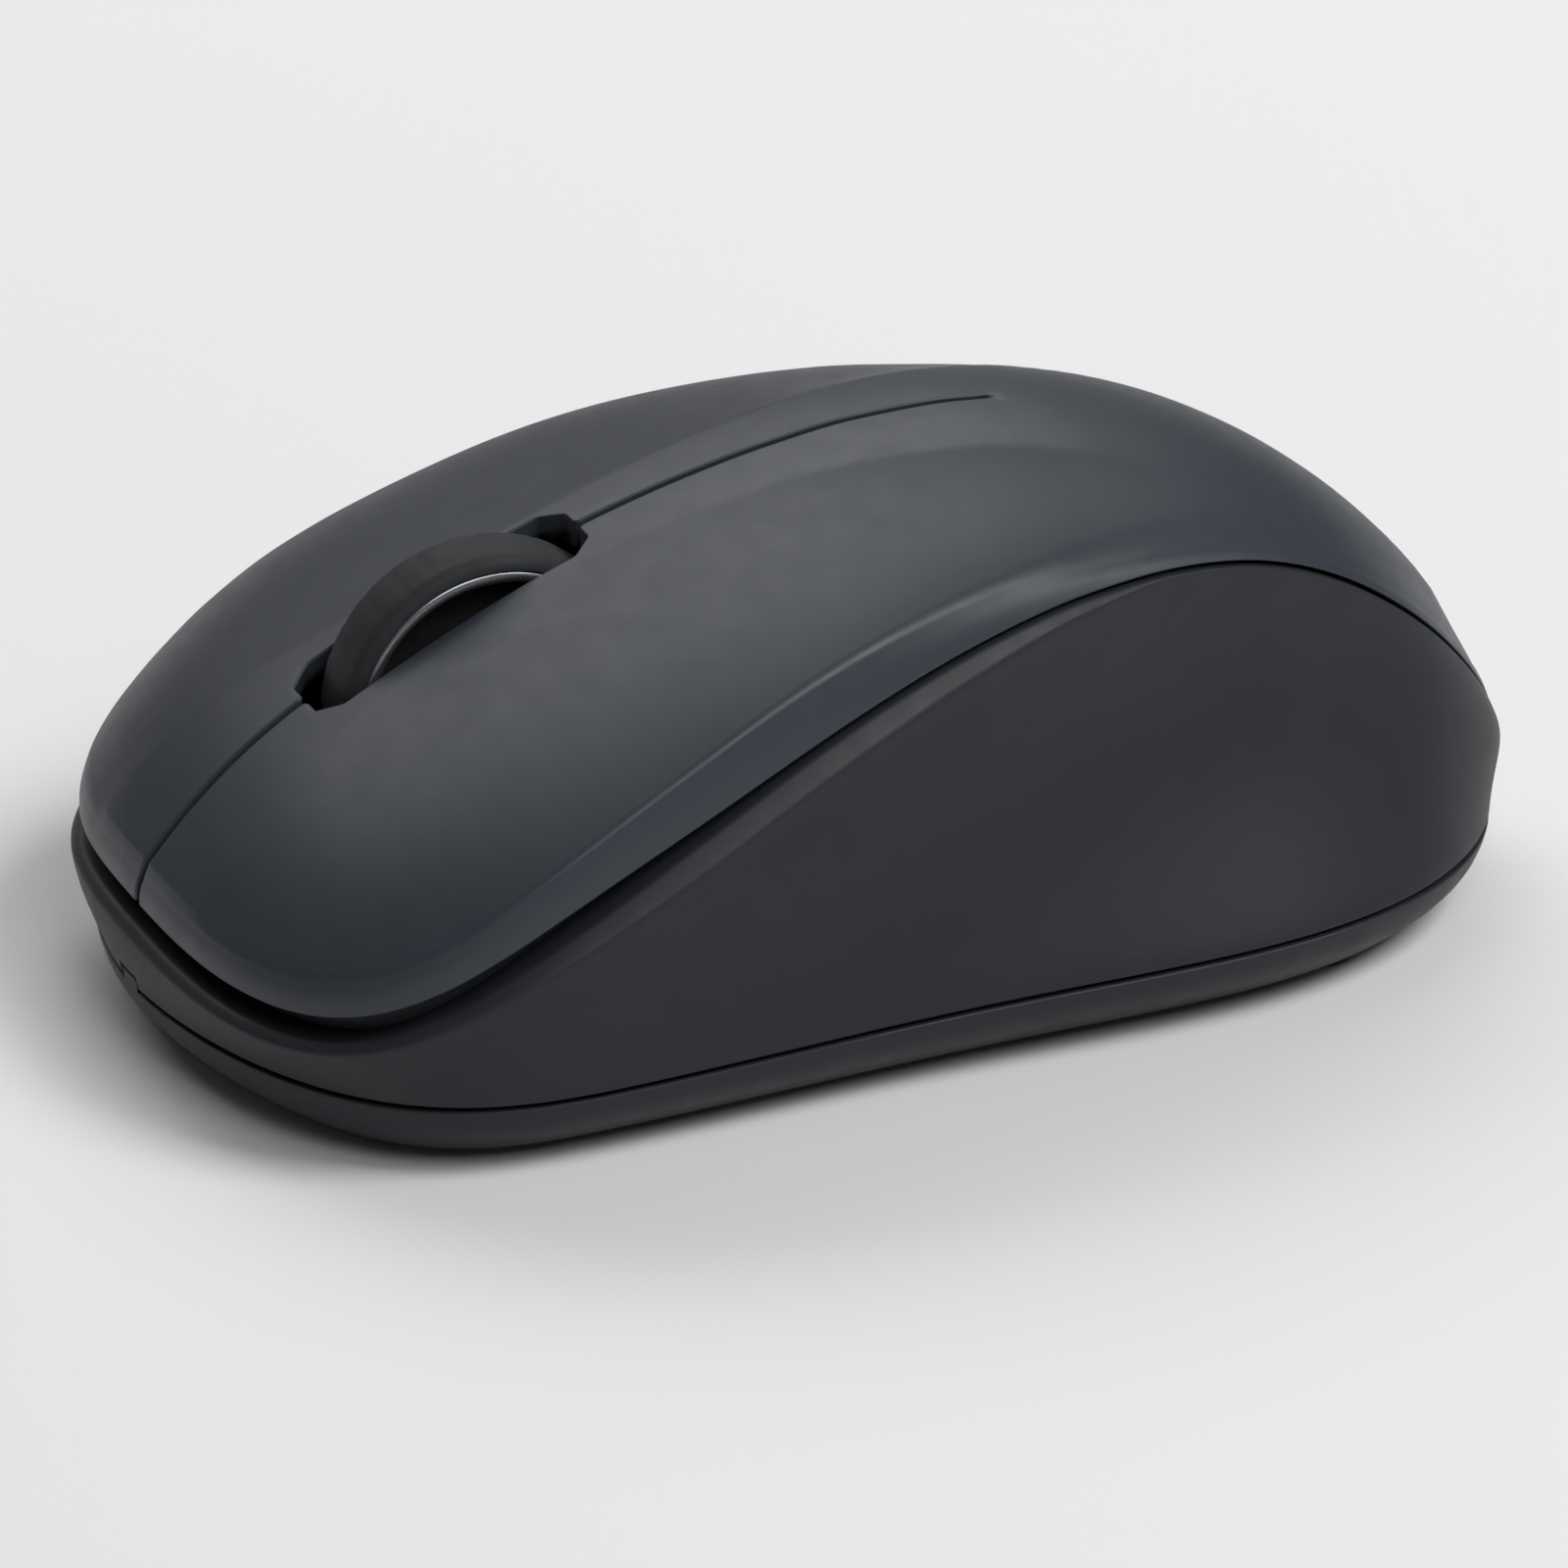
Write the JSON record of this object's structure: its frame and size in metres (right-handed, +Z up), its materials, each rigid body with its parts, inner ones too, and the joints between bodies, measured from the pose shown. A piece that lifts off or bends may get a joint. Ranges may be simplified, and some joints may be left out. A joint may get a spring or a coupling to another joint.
{
  "type": "computer mouse",
  "caption": "Compact cordless optical mouse: split flexing keys under an arched top cover, rubber scroll wheel that turns and clicks, scooped side shell, flat base with battery door.",
  "frame": {"origin": "centre of the bounding box's footprint, on the surface the feet stand on", "axes": "+Z up, -Y towards the nose with the keys, +X towards the thumb side"},
  "size_m": [0.0614, 0.1003, 0.0382],
  "materials": {
    "cover_plastic": "graphite grey, fine matte grain",
    "side_plastic": "darker graphite grey, fine matte grain",
    "base_plastic": "dark grey, fine spark-eroded texture",
    "foot_ptfe": "smooth slick black",
    "screw_steel": "zinc plated",
    "board_laminate": "green solder mask",
    "black_moulding": "satin moulded",
    "ivory_moulding": "satin moulded",
    "plunger_red": "satin moulded",
    "wheel_rubber": "soft matte",
    "hub_gloss": "gloss with a bright plated edge",
    "lens_clear": "clear optical plastic",
    "can_metal": "satin",
    "capacitor_sleeve": "shrink sleeve",
    "slider_plastic": "satin moulded",
    "cell_sleeve": "plain printed-film sleeve with no marks",
    "contact_nickel": "nickel plated spring steel",
    "lead_insulation": "flexible insulation",
    "receiver_plastic": "satin moulded",
    "plug_steel": "folded plated steel"
  },
  "bodies": {
    "root": {"palm_cover": "cover_plastic", "side_shell": "side_plastic", "base_shell": "base_plastic", "front_foot": "foot_ptfe", "rear_foot_left": "foot_ptfe", "rear_foot_right": "foot_ptfe", "case_screw_left": "screw_steel", "case_screw_right": "screw_steel", "case_screw_front": "screw_steel", "board_screw_left": "screw_steel", "board_screw_right": "screw_steel", "main_board": "board_laminate", "left_switch": "black_moulding", "right_switch": "black_moulding", "middle_switch": "black_moulding", "encoder_body": "black_moulding", "sensor_chip": "black_moulding", "radio_chip": "black_moulding", "axle_guide": "black_moulding", "sensor_lens": "lens_clear", "crystal": "can_metal", "capacitor": "capacitor_sleeve", "power_switch": "can_metal", "battery_cell": "cell_sleeve", "positive_contact": "contact_nickel", "negative_spring": "contact_nickel", "negative_contact": "contact_nickel", "battery_lead": "lead_insulation"},
    "left_key": {"left_key": "cover_plastic"},
    "right_key": {"right_key": "cover_plastic"},
    "left_plunger": {"left_switch_plunger": "ivory_moulding"},
    "right_plunger": {"right_switch_plunger": "ivory_moulding"},
    "wheel_rocker": {"click_saddle": "ivory_moulding"},
    "wheel": {"wheel_hub": "hub_gloss", "wheel_tyre": "wheel_rubber", "encoder_rotor": "ivory_moulding"},
    "middle_plunger": {"middle_switch_plunger": "plunger_red"},
    "power_slider": {"power_slider": "slider_plastic"},
    "battery_door": {"battery_door": "base_plastic"},
    "receiver": {"receiver_cap": "receiver_plastic", "receiver_plug": "plug_steel"}
  },
  "joints": [
    {"name": "left_key_press", "type": "hinge", "parent": "root", "child": "left_key", "pos_m": [0.012, 0.01311, 0.0365], "axis": [1, 0, 0], "range_deg": [0, 0.7], "stiffness_Nm_per_rad": 40, "springref_deg": -1.15},
    {"name": "right_key_press", "type": "hinge", "parent": "root", "child": "right_key", "pos_m": [-0.012, 0.01311, 0.0365], "axis": [1, 0, 0], "range_deg": [0, 0.7], "stiffness_Nm_per_rad": 40, "springref_deg": -1.15},
    {"name": "left_switch_travel", "type": "slide", "parent": "root", "child": "left_plunger", "axis": [0, 0, -1], "range_m": [0, 0.00065]},
    {"name": "right_switch_travel", "type": "slide", "parent": "root", "child": "right_plunger", "axis": [0, 0, -1], "range_m": [0, 0.00065]},
    {"name": "wheel_click", "type": "hinge", "parent": "root", "child": "wheel_rocker", "pos_m": [-0.0081, -0.02408, 0.0218], "axis": [0, 1, 0], "range_deg": [0, 1.4], "stiffness_Nm_per_rad": 1.5, "springref_deg": -1.15},
    {"name": "wheel_spin", "type": "hinge", "parent": "wheel_rocker", "child": "wheel", "pos_m": [0, -0.02408, 0.0218], "axis": [1, 0, 0], "continuous": true},
    {"name": "middle_switch_travel", "type": "slide", "parent": "root", "child": "middle_plunger", "axis": [0, 0, -1], "range_m": [0, 0.0005]},
    {"name": "power_slide", "type": "slide", "parent": "root", "child": "power_slider", "axis": [0, 1, 0], "range_m": [0, 0.0025]},
    {"name": "battery_door_hinge", "type": "hinge", "parent": "root", "child": "battery_door", "pos_m": [0, 0.04017, 0.00155], "axis": [1, 0, 0], "range_deg": [0, 75]},
    {"name": "receiver_pull", "type": "slide", "parent": "root", "child": "receiver", "axis": [0, 0, -1], "range_m": [0, 0.018]}
  ],
  "couplings": [
    {"joint": "left_switch_travel", "follows": "left_key_press", "m_per_rad": 0.0502},
    {"joint": "right_switch_travel", "follows": "right_key_press", "m_per_rad": 0.0502},
    {"joint": "middle_switch_travel", "follows": "wheel_click", "m_per_rad": 0.0176}
  ]
}
